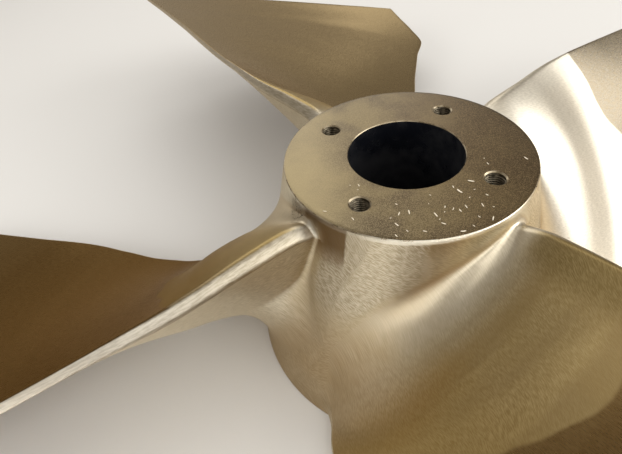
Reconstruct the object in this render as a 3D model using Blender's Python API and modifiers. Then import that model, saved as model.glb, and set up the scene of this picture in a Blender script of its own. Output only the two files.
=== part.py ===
"""Four-bladed ship propeller, one bronze casting.

Frame: metres, +Z along the shaft axis towards the aft (cap) end of the hub.
The origin is the centre of the hub's forward face, on which the casting rests.
The propeller is right-handed: seen from +Z, the blades fall away clockwise.
"""

import math

import bpy
import numpy as np

# ---- driving dimensions (metres, degrees) ---------------------------------
HUB_LENGTH = 0.252          # forward face to aft face
HUB_AFT_RADIUS = 0.120      # machined aft face
HUB_FORWARD_RADIUS = 0.180  # forward face
HUB_AFT_CHAMFER = 0.0008
HUB_FORWARD_CHAMFER = 0.004
BORE_AFT_RADIUS = 0.0563    # shaft taper 1:12 on the diameter
BORE_TAPER = 1.0 / 24.0     # radius gained per metre towards the forward face
BORE_CHAMFER = 0.0008
HUB_STEPS = 96

CAP_HOLES = 4               # blind holes for the hub cap's M20 screws
CAP_HOLE_CIRCLE = 0.087     # radius of the bolt circle
CAP_HOLE_RADIUS = 0.0092
CAP_HOLE_MOUTH = 0.0104     # countersunk mouth
CAP_HOLE_DEPTH = 0.046
CAP_HOLE_ANGLE = 49.0       # first hole, from +X

BLADES = 4
TIP_RADIUS = 0.864
FACE_FILLET = 0.054         # greatest root fillet on the aft-looking face
BACK_FILLET = 0.047         # greatest root fillet on the back
FACE_CAMBER = 0.014         # hollow of the aft-looking face at the tip
FACE_BULGE = 0.018          # fullness of the aft-looking face at the hub
HUB_END_GAP = 0.006         # the root fillets run out this far from the hub's ends
THICKEST_AT = 0.42          # from the leading edge, as a share of the chord

# Blade offsets by radius: trailing edge angle, leading edge angle (both from
# the blade's own zero line), height of the trailing edge below the aft face,
# pitch, greatest thickness, trailing edge thickness.
OFFSETS = (
    # radius  trail   lead    drop    pitch  thick   edge
    (0.070,   32.2,  -40.0,  0.0150,  1.13,  0.086,  0.0190),
    (0.120,   32.6,  -39.0,  0.0120,  1.14,  0.082,  0.0188),
    (0.134,   33.0,  -38.6,  0.0084,  1.15,  0.079,  0.0182),
    (0.150,   33.4,  -37.8,  0.0044,  1.16,  0.075,  0.0175),
    (0.180,   33.7,  -36.6,  0.0030,  1.18,  0.070,  0.0165),
    (0.208,   33.9,  -33.6,  0.0028,  1.21,  0.065,  0.0151),
    (0.234,   34.2,  -28.8,  0.0026,  1.27,  0.060,  0.0138),
    (0.252,   34.2,  -23.2,  0.0026,  1.32,  0.057,  0.0130),
    (0.270,   34.0,  -17.6,  0.0028,  1.35,  0.053,  0.0121),
    (0.290,   33.7,  -15.2,  0.0030,  1.355, 0.050,  0.0108),
    (0.330,   33.0,  -15.4,  0.0044,  1.355, 0.045,  0.0086),
    (0.380,   32.2,  -17.0,  0.0060,  1.35,  0.040,  0.0080),
    (0.456,   31.0,  -18.2,  0.0068,  1.35,  0.035,  0.0078),
    (0.552,   29.9,  -17.8,  0.0072,  1.355, 0.030,  0.0076),
    (0.648,   29.3,  -17.8,  0.0076,  1.36,  0.025,  0.0073),
    (0.720,   29.0,  -18.3,  0.0084,  1.35,  0.021,  0.0070),
    (0.768,   28.9,  -16.4,  0.0086,  1.32,  0.018,  0.0067),
    (0.816,   28.8,  -14.3,  0.0090,  1.29,  0.015,  0.0064),
    (0.864,   28.7,  -12.5,  0.0094,  1.25,  0.012,  0.0060),
)
# Stations along the blade: two inside the hub, then round the arc of the root
# fillet (degrees), then by distance from the hub's surface. The first follow
# the cone of the hub and the last are at constant radius.
MEAN_HUB_RADIUS = 0.150
BURIED = (-0.020, -0.004)
FILLET_ARC = (14.0, 28.0, 42.0, 58.0, 75.0, 90.0)
SPAN = (0.070, 0.088, 0.110, 0.145, 0.190, 0.245, 0.310, 0.380, 0.450,
        0.520, 0.585, 0.640, 0.682, 0.7015)
CHORDWISE = 16              # intervals from edge to edge


def offset(radius, column):
    """Smooth reading of one column of the blade offsets."""
    xs = np.array([row[0] for row in OFFSETS])
    ys = np.array([row[column] for row in OFFSETS])
    steps = np.diff(ys) / np.diff(xs)
    both = steps[:-1] * steps[1:]
    inner = np.where(both > 0.0, 2.0 * both / np.where(both > 0.0, steps[:-1] + steps[1:], 1.0), 0.0)
    slopes = np.concatenate((steps[:1], inner, steps[-1:]))
    k = np.clip(np.searchsorted(xs, radius) - 1, 0, len(xs) - 2)
    h = xs[k + 1] - xs[k]
    t = np.clip((radius - xs[k]) / h, 0.0, 1.0)
    return ((2 * t**3 - 3 * t**2 + 1) * ys[k] + (t**3 - 2 * t**2 + t) * slopes[k] * h
            + (-2 * t**3 + 3 * t**2) * ys[k + 1] + (t**3 - t**2) * slopes[k + 1] * h)


def hub_radius(z):
    """Outer radius of the hub at a height above the forward face."""
    t = np.clip(z / HUB_LENGTH, 0.0, 1.0)
    return HUB_FORWARD_RADIUS + (HUB_AFT_RADIUS - HUB_FORWARD_RADIUS) * t


def ramp(value, low, high):
    """Smooth step from 0 at low to 1 at high."""
    t = np.clip((value - low) / (high - low), 0.0, 1.0)
    return t * t * (3.0 - 2.0 * t)


def outline_steps():
    """Steps once round a blade section as (part, share): the face (0) from the
    leading to the trailing edge, the trailing edge's first corner (1) and
    second corner (2), the back (3) and the rounded leading edge (4)."""
    shares = [0.5 - 0.5 * math.cos(math.pi * i / CHORDWISE) for i in range(CHORDWISE + 1)]
    steps = [(0, x) for x in shares] + [(1, 0.5), (1, 1.0), (2, 0.0), (2, 0.5)]
    steps += [(3, x) for x in shares] + [(4, i / 5.0) for i in range(1, 5)]
    return steps


def section(part, share, radius, chord):
    """Points of the section outline, q along the chord from the leading edge
    and n from the face towards the back, with the outward direction."""
    thick, edge = offset(radius, 5), offset(radius, 6)
    crisp, corner = (0.30 - 0.14 * ramp(radius, 0.20, 0.38)) * edge, 0.42 * edge
    nose = 0.0085 - 0.0055 * ramp(radius, 0.14, 0.84)
    top = THICKEST_AT * chord
    power = 1.9 - 0.7 * ramp(radius, 0.19, 0.30)
    lead = tail = 0.0 * chord
    for _ in range(4):      # the back runs tangent into both rounded edges
        q0, n0 = nose * (1.0 - np.sin(lead)), nose * (1.0 + np.cos(lead))
        q1 = chord - corner * (1.0 - np.sin(tail))
        n1 = edge - corner * (1.0 - np.cos(tail))
        lead = np.arctan(2.0 * (thick - n0) / (top - q0))
        tail = np.arctan(power * (thick - n1) / (q1 - top))
    q_face = nose + (chord - crisp - nose) * share
    q_back = q1 + (q0 - q1) * share
    ahead = np.clip((top - q_back) / (top - q0), 0.0, 1.0)
    behind = np.clip((q_back - top) / (q1 - top), 0.0, 1.0)
    n_back = thick - (thick - n0) * ahead**2 - (thick - n1) * behind**power
    fall = np.where(q_back < top, 2.0 * (thick - n0) * ahead / (top - q0),
                    -power * (thick - n1) * behind**(power - 1.0) / (q1 - top))
    side = 1.0 / np.sqrt(1.0 + fall**2)
    half = 0.5 * math.pi
    a1 = half * (share - 1.0)
    a2 = (half - tail) * share
    a4 = half + lead + (math.pi - lead) * share
    q = np.select([part == 0, part == 1, part == 2, part == 3],
                  [q_face, chord - crisp * (1.0 - np.cos(a1)), chord - corner * (1.0 - np.cos(a2)), q_back],
                  nose * (1.0 + np.cos(a4)))
    n = np.select([part == 0, part == 1, part == 2, part == 3],
                  [0.0 * chord, crisp * (1.0 + np.sin(a1)), edge - corner * (1.0 - np.sin(a2)), n_back],
                  nose * (1.0 + np.sin(a4)))
    out_q = np.select([part == 0, part == 1, part == 2, part == 3],
                      [0.0 * chord, np.cos(a1), np.cos(a2), -fall * side], np.cos(a4))
    out_n = np.select([part == 0, part == 1, part == 2, part == 3],
                      [-1.0 + 0.0 * chord, np.sin(a1), np.sin(a2), side], np.sin(a4))
    x = np.clip(q / chord, 0.0, 1.0)
    full = FACE_BULGE * (4.0 + 3.4 * x) * (1.0 - ramp(radius, 0.150, 0.300)) * np.clip(1.0 - n / thick, 0.0, 1.0)
    return q, n + (FACE_CAMBER * radius / TIP_RADIUS * 4.0 - full) * x * (1.0 - x), out_q, out_n


def surface(part, share, distance, grow):
    """Radius, angle, height, chordwise place from the trailing edge and how far
    outwards is up, for blade points at a distance from the hub's surface, with
    the section grown outwards."""
    z = 0.5 * HUB_LENGTH + 0.0 * distance
    outward = ramp(distance, 0.06, 0.22)
    for _ in range(12):
        radius = (1.0 - outward) * hub_radius(z) + outward * MEAN_HUB_RADIUS + distance
        trail, lead = np.radians(offset(radius, 1)), np.radians(offset(radius, 2))
        slope = np.arctan2(offset(radius, 4), 2.0 * math.pi * radius)
        chord = (trail - lead) * radius / np.cos(slope)
        q, n, out_q, out_n = section(part, share, radius, chord)
        q, n = q + grow * out_q, n + grow * out_n
        angle = trail - ((chord - q) * np.cos(slope) - n * np.sin(slope)) / radius
        z = HUB_LENGTH - offset(radius, 3) - (chord - q) * np.sin(slope) - n * np.cos(slope)
    return radius, angle, z, chord - q, out_q * np.sin(slope) - out_n * np.cos(slope)


def fillet_radii(part, share):
    """Root fillet round the section: small at the trailing edge, a narrow crease
    on the back behind it, and smaller where it nears the hub's ends."""
    zero = 0.0 * share
    _, _, z, behind, up = surface(part, share, zero, zero)
    above = (HUB_LENGTH - HUB_END_GAP - z) / np.maximum(up, 0.05)
    below = (z - HUB_END_GAP) / np.maximum(-up, 0.05)
    room = np.maximum(np.minimum(above, below), 0.002)
    behind = np.maximum(behind, 0.0)
    full = np.where(part >= 3, BACK_FILLET, FACE_FILLET)
    crease = 0.0032 + 0.05 * behind + 0.060 * ramp(behind, 0.045, 0.140)
    growing = 0.0050 + (FACE_FILLET - 0.0050) * (1.0 - np.exp(-behind / 0.100))
    full = np.minimum(full, np.where((part >= 2) & (part < 4), crease, growing))
    fold = 0.0180 + 0.45 * np.maximum(behind.max() - behind - 0.004, 0.0)
    full = np.where(part == 0, np.minimum(full, fold), full)
    full = np.where(part == 4, BACK_FILLET + (full[0] - BACK_FILLET) * ramp(share, 0.0, 1.0), full)
    fillet = (room**-4.0 + full**-4.0) ** -0.25
    for distance in (0.003, 0.007, 0.012, 0.018, 0.025, 0.034):
        _, _, z, _, up = surface(part, share, zero + distance, zero)
        room = np.maximum(HUB_LENGTH - 0.0008 - z, 0.0002) / np.maximum(up, 0.05)
        for _ in range(40):
            lift = fillet * (1.0 - np.sqrt(1.0 - np.clip(1.0 - distance / fillet, 0.0, 1.0) ** 2))
            fillet = np.where(lift > room, np.maximum(0.96 * fillet, 0.002), fillet)
    return fillet


def blade_rings():
    """Closed loops of points round the blade, from inside the hub to the tip."""
    steps = outline_steps()
    part = np.array([p for p, _ in steps])
    share = np.array([x for _, x in steps])
    fillet = fillet_radii(part, share)
    rings = [(d + 0.0 * fillet, fillet) for d in BURIED]
    for t in FILLET_ARC:
        c, s = math.cos(math.radians(t)), math.sin(math.radians(t))
        rings.append((fillet * (1.0 - c), fillet * (1.0 - s)))
    rings += [(d + 0.0 * fillet, 0.0 * fillet) for d in SPAN]
    tip = TIP_RADIUS - MEAN_HUB_RADIUS
    for t in (0.0, 45.0, 90.0):
        c, s = math.cos(math.radians(t)), math.sin(math.radians(t))
        rings.append((tip - 0.0025 * (1.0 - s) + 0.0 * fillet, -0.0025 * (1.0 - c) + 0.0 * fillet))
    points = []
    for distance, grow in rings:
        radius, angle, z, _, _ = surface(part, share, distance, grow)
        z = np.clip(z, 0.5 * HUB_END_GAP, HUB_LENGTH - 0.0006)
        points.append(np.stack((radius * np.cos(angle), radius * np.sin(angle), z), axis=1))
    return points


def new_mesh_object(name, vertices, faces, collection):
    mesh = bpy.data.meshes.new(name)
    mesh.from_pydata(vertices, [], faces)
    mesh.validate()
    obj = bpy.data.objects.new(name, mesh)
    collection.objects.link(obj)
    return obj


def make_collection(name):
    collection = bpy.data.collections.get(name) or bpy.data.collections.new(name)
    if collection.name not in bpy.context.scene.collection.children:
        bpy.context.scene.collection.children.link(collection)
    return collection


def hide_cutter(obj):
    obj.hide_render = True
    obj.display_type = "WIRE"


def make_hub(collection):
    """Turned hub with its tapered bore, as a profile swept round Z."""
    bore_forward = BORE_AFT_RADIUS + BORE_TAPER * HUB_LENGTH
    slope = (HUB_FORWARD_RADIUS - HUB_AFT_RADIUS) / HUB_LENGTH
    ca, cf, cb = HUB_AFT_CHAMFER, HUB_FORWARD_CHAMFER, BORE_CHAMFER
    profile = [
        (BORE_AFT_RADIUS + cb, HUB_LENGTH),
        (HUB_AFT_RADIUS - ca, HUB_LENGTH),
        (HUB_AFT_RADIUS + slope * ca, HUB_LENGTH - ca),
        (HUB_FORWARD_RADIUS - slope * cf, cf),
        (HUB_FORWARD_RADIUS - cf, 0.0),
        (bore_forward + cb, 0.0),
        (bore_forward, cb),
        (BORE_AFT_RADIUS + BORE_TAPER * cb, HUB_LENGTH - cb),
    ]
    vertices = [(r, 0.0, z) for r, z in profile]
    edges = [(i, (i + 1) % len(profile)) for i in range(len(profile))]
    mesh = bpy.data.meshes.new("propeller")
    mesh.from_pydata(vertices, edges, [])
    hub = bpy.data.objects.new("propeller", mesh)
    collection.objects.link(hub)
    turn = hub.modifiers.new("turn", "SCREW")
    turn.axis = "Z"
    turn.angle = 2.0 * math.pi
    turn.steps = HUB_STEPS
    turn.render_steps = HUB_STEPS
    turn.use_merge_vertices = True
    turn.merge_threshold = 0.00005
    turn.use_smooth_shade = True
    return hub


def make_blade(name, turn_deg, rings, collection):
    """Blade lofted through its sections, closed at both ends."""
    count = len(rings[0])
    faces = []
    for j in range(len(rings) - 1):
        for i in range(count):
            a, b = j * count + i, j * count + (i + 1) % count
            faces.append((a, b, b + count, a + count))
    n = CHORDWISE
    strips = [(i, i + 1, 2 * n + 4 - i, 2 * n + 5 - i) for i in range(n)]
    strips += [(n, n + 1, n + 4, n + 5), (n + 1, n + 2, n + 3, n + 4)]
    strips += [(count - 1, 0, 2 * n + 5, count - 4), (count - 2, count - 1, count - 4, count - 3)]
    for j, flip in ((0, True), (len(rings) - 1, False)):
        for strip in strips:
            face = tuple(j * count + i for i in strip)
            faces.append(face[::-1] if flip else face)
    turn = math.radians(turn_deg)
    c, s = math.cos(turn), math.sin(turn)
    vertices = [(x * c - y * s, x * s + y * c, z) for ring in rings for x, y, z in ring.tolist()]
    return new_mesh_object(name, vertices, faces, collection)


def make_cap_hole(name, angle_deg, collection):
    """Blind hole with a countersunk mouth, as a turned cutter."""
    a = math.radians(angle_deg)
    depth, r, mouth = CAP_HOLE_DEPTH, CAP_HOLE_RADIUS, CAP_HOLE_MOUTH
    lead = mouth - r
    profile = [(0.0, 0.004), (mouth + 0.004, 0.004), (r, -lead), (r, -depth), (0.0, -depth - 0.5 * r)]
    mesh = bpy.data.meshes.new(name)
    mesh.from_pydata([(x, 0.0, z) for x, z in profile], [(i, i + 1) for i in range(len(profile) - 1)], [])
    cutter = bpy.data.objects.new(name, mesh)
    collection.objects.link(cutter)
    cutter.location = (CAP_HOLE_CIRCLE * math.cos(a), CAP_HOLE_CIRCLE * math.sin(a), HUB_LENGTH)
    turn = cutter.modifiers.new("turn", "SCREW")
    turn.axis = "Z"
    turn.steps = 24
    turn.render_steps = 24
    turn.use_merge_vertices = True
    turn.merge_threshold = 0.00005
    hide_cutter(cutter)
    return cutter


def bronze():
    material = bpy.data.materials.new("cast_bronze")
    material.use_nodes = True
    shader = material.node_tree.nodes["Principled BSDF"]
    shader.inputs["Base Color"].default_value = (0.42, 0.34, 0.20, 1.0)
    shader.inputs["Metallic"].default_value = 1.0
    shader.inputs["Roughness"].default_value = 0.38
    return material


def main():
    for obj in list(bpy.data.objects):
        bpy.data.objects.remove(obj, do_unlink=True)
    parts = make_collection("ship_propeller")
    tools = make_collection("cutters")

    hub = make_hub(parts)
    rings = blade_rings()
    for k in range(BLADES):
        blade = make_blade("blade_%d" % (k + 1), 360.0 / BLADES * k, rings, tools)
        hide_cutter(blade)
        join = hub.modifiers.new("join_blade_%d" % (k + 1), "BOOLEAN")
        join.operation = "UNION"
        join.solver = "EXACT"
        join.object = blade
    for k in range(CAP_HOLES):
        cutter = make_cap_hole("cap_hole_%d" % (k + 1), CAP_HOLE_ANGLE + 360.0 / CAP_HOLES * k, tools)
        cut = hub.modifiers.new("cut_cap_hole_%d" % (k + 1), "BOOLEAN")
        cut.operation = "DIFFERENCE"
        cut.solver = "EXACT"
        cut.object = cutter
    hub.data.materials.append(bronze())


main()
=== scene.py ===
"""Looks of the four-bladed bronze ship propeller: one cast and hand-ground piece,
with turned hub faces, a tapered bore, tapped holes and loose wood splinters."""

import math

import bpy
import numpy as np
from mathutils import Matrix, Vector, noise
from mathutils.geometry import delaunay_2d_cdt


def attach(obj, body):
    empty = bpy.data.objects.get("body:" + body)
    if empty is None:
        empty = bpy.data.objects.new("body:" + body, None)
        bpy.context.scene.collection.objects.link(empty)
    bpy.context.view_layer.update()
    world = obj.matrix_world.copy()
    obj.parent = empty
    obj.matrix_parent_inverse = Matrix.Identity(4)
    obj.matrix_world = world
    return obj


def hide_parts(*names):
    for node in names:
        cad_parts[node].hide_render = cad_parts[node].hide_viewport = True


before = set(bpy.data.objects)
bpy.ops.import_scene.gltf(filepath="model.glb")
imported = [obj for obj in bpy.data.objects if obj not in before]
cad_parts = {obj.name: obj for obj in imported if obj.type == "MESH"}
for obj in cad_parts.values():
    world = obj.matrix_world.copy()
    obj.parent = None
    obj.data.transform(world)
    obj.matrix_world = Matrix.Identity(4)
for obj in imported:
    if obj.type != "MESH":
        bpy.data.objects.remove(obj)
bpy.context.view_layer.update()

# ---- dimensions, as in the solid (metres, degrees) -------------------------
HUB_LENGTH = 0.252
HUB_AFT_RADIUS = 0.120
HUB_FORWARD_RADIUS = 0.180
RIM_CHAMFER = 0.0008
BASE_CHAMFER = 0.004
BORE_AFT_RADIUS = 0.0563
BORE_TAPER = 1.0 / 24.0
BORE_CHAMFER = 0.0008
HOLE_CIRCLE = 0.087
HOLE_ANGLE = 49.0
HOLE_RADIUS = 0.0092
HOLE_MOUTH = 0.0104
HOLE_DEPTH = 0.046
THREAD_PITCH = 0.0025
TIP_RADIUS = 0.864
FACE_FILLET = 0.054
BACK_FILLET = 0.047
FACE_CAMBER = 0.014
FACE_BULGE = 0.018
HUB_END_GAP = 0.006
THICKEST_AT = 0.42
MEAN_HUB_RADIUS = 0.150

OFFSETS = (
    # radius  trail   lead    drop    pitch  thick   edge
    (0.070,   32.2,  -40.0,  0.0150,  1.13,  0.086,  0.0190),
    (0.120,   32.6,  -39.0,  0.0120,  1.14,  0.082,  0.0188),
    (0.134,   33.0,  -38.6,  0.0084,  1.15,  0.079,  0.0182),
    (0.150,   33.4,  -37.8,  0.0044,  1.16,  0.075,  0.0175),
    (0.180,   33.7,  -36.6,  0.0030,  1.18,  0.070,  0.0165),
    (0.208,   33.9,  -33.6,  0.0028,  1.21,  0.065,  0.0151),
    (0.234,   34.2,  -28.8,  0.0026,  1.27,  0.060,  0.0138),
    (0.252,   34.2,  -23.2,  0.0026,  1.32,  0.057,  0.0130),
    (0.270,   34.0,  -17.6,  0.0028,  1.35,  0.053,  0.0121),
    (0.290,   33.7,  -15.2,  0.0030,  1.355, 0.050,  0.0108),
    (0.330,   33.0,  -15.4,  0.0044,  1.355, 0.045,  0.0086),
    (0.380,   32.2,  -17.0,  0.0060,  1.35,  0.040,  0.0080),
    (0.456,   31.0,  -18.2,  0.0068,  1.35,  0.035,  0.0078),
    (0.552,   29.9,  -17.8,  0.0072,  1.355, 0.030,  0.0076),
    (0.648,   29.3,  -17.8,  0.0076,  1.36,  0.025,  0.0073),
    (0.720,   29.0,  -18.3,  0.0084,  1.35,  0.021,  0.0070),
    (0.768,   28.9,  -16.4,  0.0086,  1.32,  0.018,  0.0067),
    (0.816,   28.8,  -14.3,  0.0090,  1.29,  0.015,  0.0064),
    (0.864,   28.7,  -12.5,  0.0094,  1.25,  0.012,  0.0060),
)


# ---- blade shape -----------------------------------------------------------
def offset(radius, column):
    """Smooth reading of one column of the blade offsets."""
    xs = np.array([row[0] for row in OFFSETS])
    ys = np.array([row[column] for row in OFFSETS])
    steps = np.diff(ys) / np.diff(xs)
    both = steps[:-1] * steps[1:]
    inner = np.where(both > 0.0, 2.0 * both / np.where(both > 0.0, steps[:-1] + steps[1:], 1.0), 0.0)
    slopes = np.concatenate((steps[:1], inner, steps[-1:]))
    k = np.clip(np.searchsorted(xs, radius) - 1, 0, len(xs) - 2)
    h = xs[k + 1] - xs[k]
    t = np.clip((radius - xs[k]) / h, 0.0, 1.0)
    return ((2 * t**3 - 3 * t**2 + 1) * ys[k] + (t**3 - 2 * t**2 + t) * slopes[k] * h
            + (-2 * t**3 + 3 * t**2) * ys[k + 1] + (t**3 - t**2) * slopes[k + 1] * h)


def hub_radius(z):
    t = np.clip(z / HUB_LENGTH, 0.0, 1.0)
    return HUB_FORWARD_RADIUS + (HUB_AFT_RADIUS - HUB_FORWARD_RADIUS) * t


def ramp(value, low, high):
    t = np.clip((value - low) / (high - low), 0.0, 1.0)
    return t * t * (3.0 - 2.0 * t)


FACE_STEPS, CORNER_STEPS, NOSE_STEPS = 60, 7, 12


def outline_steps():
    """Once round a blade section: face (0), trailing edge corners (1, 2), back
    (3) and rounded leading edge (4), as (part, share)."""
    def spread(n):
        return [0.72 * i / n + 0.28 * (0.5 - 0.5 * math.cos(math.pi * i / n)) for i in range(n + 1)]
    steps = [(0, x) for x in spread(FACE_STEPS)]
    steps += [(1, i / CORNER_STEPS) for i in range(1, CORNER_STEPS + 1)]
    steps += [(2, i / CORNER_STEPS) for i in range(CORNER_STEPS)]
    steps += [(3, x) for x in spread(FACE_STEPS)]
    steps += [(4, i / NOSE_STEPS) for i in range(1, NOSE_STEPS)]
    return steps


def section(part, share, radius, chord):
    thick, edge = offset(radius, 5), offset(radius, 6)
    crisp, corner = (0.30 - 0.14 * ramp(radius, 0.20, 0.38)) * edge, (0.42 - 0.20 * ramp(radius, 0.22, 0.36)) * edge
    nose = 0.0085 - 0.0055 * ramp(radius, 0.14, 0.84)
    top = THICKEST_AT * chord
    power = 1.9 - 0.7 * ramp(radius, 0.19, 0.30)
    lead = tail = 0.0 * chord
    for _ in range(4):
        q0, n0 = nose * (1.0 - np.sin(lead)), nose * (1.0 + np.cos(lead))
        q1 = chord - corner * (1.0 - np.sin(tail))
        n1 = edge - corner * (1.0 - np.cos(tail))
        lead = np.arctan(2.0 * (thick - n0) / (top - q0))
        tail = np.arctan(power * (thick - n1) / (q1 - top))
    q_face = nose + (chord - crisp - nose) * share
    q_back = q1 + (q0 - q1) * share
    ahead = np.clip((top - q_back) / (top - q0), 0.0, 1.0)
    behind = np.clip((q_back - top) / (q1 - top), 0.0, 1.0)
    n_back = thick - (thick - n0) * ahead**2 - (thick - n1) * behind**power
    fall = np.where(q_back < top, 2.0 * (thick - n0) * ahead / (top - q0),
                    -power * (thick - n1) * behind**(power - 1.0) / (q1 - top))
    side = 1.0 / np.sqrt(1.0 + fall**2)
    half = 0.5 * math.pi
    a1 = half * (share - 1.0)
    a2 = (half - tail) * share
    a4 = half + lead + (math.pi - lead) * share
    pick = [part == 0, part == 1, part == 2, part == 3]
    q = np.select(pick, [q_face, chord - crisp * (1.0 - np.cos(a1)), chord - corner * (1.0 - np.cos(a2)), q_back],
                  nose * (1.0 + np.cos(a4)))
    n = np.select(pick, [0.0 * chord, crisp * (1.0 + np.sin(a1)), edge - corner * (1.0 - np.sin(a2)), n_back],
                  nose * (1.0 + np.sin(a4)))
    out_q = np.select(pick, [0.0 * chord, np.cos(a1), np.cos(a2), -fall * side], np.cos(a4))
    out_n = np.select(pick, [-1.0 + 0.0 * chord, np.sin(a1), np.sin(a2), side], np.sin(a4))
    x = np.clip(q / chord, 0.0, 1.0)
    full = FACE_BULGE * (4.0 + 3.4 * x) * (1.0 - ramp(radius, 0.150, 0.300)) * np.clip(1.0 - n / thick, 0.0, 1.0)
    return q, n + (FACE_CAMBER * radius / TIP_RADIUS * 4.0 - full) * x * (1.0 - x), out_q, out_n


def surface(part, share, distance, grow):
    """Radius, angle, height, chordwise place from the trailing edge and how far
    outwards is up, for blade points at a distance from the hub."""
    z = 0.5 * HUB_LENGTH + 0.0 * distance
    outward = ramp(distance, 0.06, 0.22)
    for _ in range(14):
        radius = (1.0 - outward) * hub_radius(z) + outward * MEAN_HUB_RADIUS + distance
        trail, lead = np.radians(offset(radius, 1)), np.radians(offset(radius, 2))
        slope = np.arctan2(offset(radius, 4), 2.0 * math.pi * radius)
        chord = (trail - lead) * radius / np.cos(slope)
        q, n, out_q, out_n = section(part, share, radius, chord)
        q, n = q + grow * out_q, n + grow * out_n
        angle = trail - ((chord - q) * np.cos(slope) - n * np.sin(slope)) / radius
        z = HUB_LENGTH - offset(radius, 3) - (chord - q) * np.sin(slope) - n * np.cos(slope)
    return radius, angle, z, chord - q, out_q * np.sin(slope) - out_n * np.cos(slope)


def fillet_radii(part, share):
    """Root fillet round the section: full between the blades, small at the
    trailing edge and where it nears the hub's ends."""
    zero = 0.0 * share
    _, _, z, behind, up = surface(part, share, zero, zero)
    above = (HUB_LENGTH - HUB_END_GAP - z) / np.maximum(up, 0.05)
    below = (z - HUB_END_GAP) / np.maximum(-up, 0.05)
    room = np.maximum(np.minimum(above, below), 0.002)
    behind = np.maximum(behind, 0.0)
    full = np.where(part >= 3, BACK_FILLET, FACE_FILLET)
    crease = 0.0032 + 0.05 * behind + 0.060 * ramp(behind, 0.045, 0.140)
    growing = 0.0050 + (FACE_FILLET - 0.0050) * (1.0 - np.exp(-behind / 0.100))
    full = np.minimum(full, np.where((part >= 2) & (part < 4), crease, growing))
    fold = 0.0180 + 0.45 * np.maximum(behind.max() - behind - 0.004, 0.0)
    full = np.where(part == 0, np.minimum(full, fold), full)
    full = np.where(part == 4, BACK_FILLET + (full[0] - BACK_FILLET) * ramp(share, 0.0, 1.0), full)
    fillet = (room**-4.0 + full**-4.0) ** -0.25
    for distance in (0.003, 0.007, 0.012, 0.018, 0.025, 0.034):
        _, _, z, _, up = surface(part, share, zero + distance, zero)
        room = np.maximum(HUB_LENGTH - 0.0008 - z, 0.0002) / np.maximum(up, 0.05)
        for _ in range(40):
            lift = fillet * (1.0 - np.sqrt(1.0 - np.clip(1.0 - distance / fillet, 0.0, 1.0) ** 2))
            fillet = np.where(lift > room, np.maximum(0.96 * fillet, 0.002), fillet)
    for _ in range(3):      # even out the change from point to point
        fillet = 0.5 * fillet + 0.25 * (np.roll(fillet, 1) + np.roll(fillet, -1))
    return fillet


def blade_grid():
    """Rings of blade points from the hub's surface to the rounded tip, with the
    chordwise and spanwise place of each."""
    steps = outline_steps()
    part = np.array([p for p, _ in steps])
    share = np.array([x for _, x in steps])
    fillet = fillet_radii(part, share)
    rings = []
    for t in np.linspace(0.0, 90.0, 17):
        c, s = math.cos(math.radians(t)), math.sin(math.radians(t))
        rings.append((fillet * (1.0 - c), fillet * (1.0 - s)))
    for k in range(1, 8):
        rings.append((fillet + (0.072 - fillet) * (k / 7.0) ** 1.25, 0.0 * fillet))
    spans = np.concatenate((np.arange(0.079, 0.20, 0.0068), np.linspace(0.203, 0.7115, 64)))
    rings += [(d + 0.0 * fillet, 0.0 * fillet) for d in spans]
    tip = TIP_RADIUS - MEAN_HUB_RADIUS
    for t in (22.5, 45.0, 67.5, 90.0):
        c, s = math.cos(math.radians(t)), math.sin(math.radians(t))
        rings.append((tip - 0.0025 * (1.0 - s) + 0.0 * fillet, -0.0025 * (1.0 - c) + 0.0 * fillet))
    radius, angle, z, behind, _ = (np.stack(v) for v in zip(*(surface(part, share, d, g) for d, g in rings)))
    z = np.clip(z, 0.5 * HUB_END_GAP, HUB_LENGTH - 0.0006)
    span = np.stack([d for d, _ in rings])
    edge = np.where(part == 1, ramp(share, 0.15, 1.0), np.where(part == 2, 1.0, np.where(part == 0, 0.0, -1.0)))
    return radius, angle, z, behind, span, np.broadcast_to(edge, z.shape)


# ---- one mesh for the whole casting ----------------------------------------
class Body:
    """Vertices, faces, and the values that the finishes read."""

    def __init__(self):
        self.points, self.faces, self.slots, self.finish, self.kind = [], [], [], [], []
        self.count = 0

    def add(self, points, finish, kind):
        """finish is (chordwise, spanwise, side) and kind the waviness, per point."""
        start = self.count
        points = np.asarray(points, float).reshape(-1, 3)
        self.points.append(points)
        self.finish.append(np.broadcast_to(np.asarray(finish, float), points.shape).copy())
        self.kind.append(np.broadcast_to(np.asarray(kind, float), (len(points),)).copy())
        self.count += len(points)
        return start

    def face(self, corners, slot):
        self.faces.append(tuple(int(c) for c in corners))
        self.slots.append(slot)

    def band(self, low, high, slot, flip=False):
        """Quads between two closed loops of equal length."""
        n = len(low)
        for i in range(n):
            j = (i + 1) % n
            quad = (low[i], low[j], high[j], high[i])
            self.face(quad[::-1] if flip else quad, slot)


BLADE, TURNED, CHAMFER, BORE, THREAD = range(5)


def inside(points, polygon):
    """Which points lie inside a closed polygon."""
    x, y = points[:, 0][:, None], points[:, 1][:, None]
    x0, y0 = polygon[:, 0][None], polygon[:, 1][None]
    x1, y1 = np.roll(polygon[:, 0], -1)[None], np.roll(polygon[:, 1], -1)[None]
    crosses = ((y0 > y) != (y1 > y)) & (x < (x1 - x0) * (y - y0) / np.where(y1 == y0, 1e-12, y1 - y0) + x0)
    return crosses.sum(axis=1) % 2 == 1


def far_from(points, line, gap):
    """Which points are further than a gap from every point of a line."""
    keep = np.ones(len(points), bool)
    for p in line:
        keep &= ((points - p) ** 2).sum(axis=1) > gap * gap
    return keep


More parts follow.
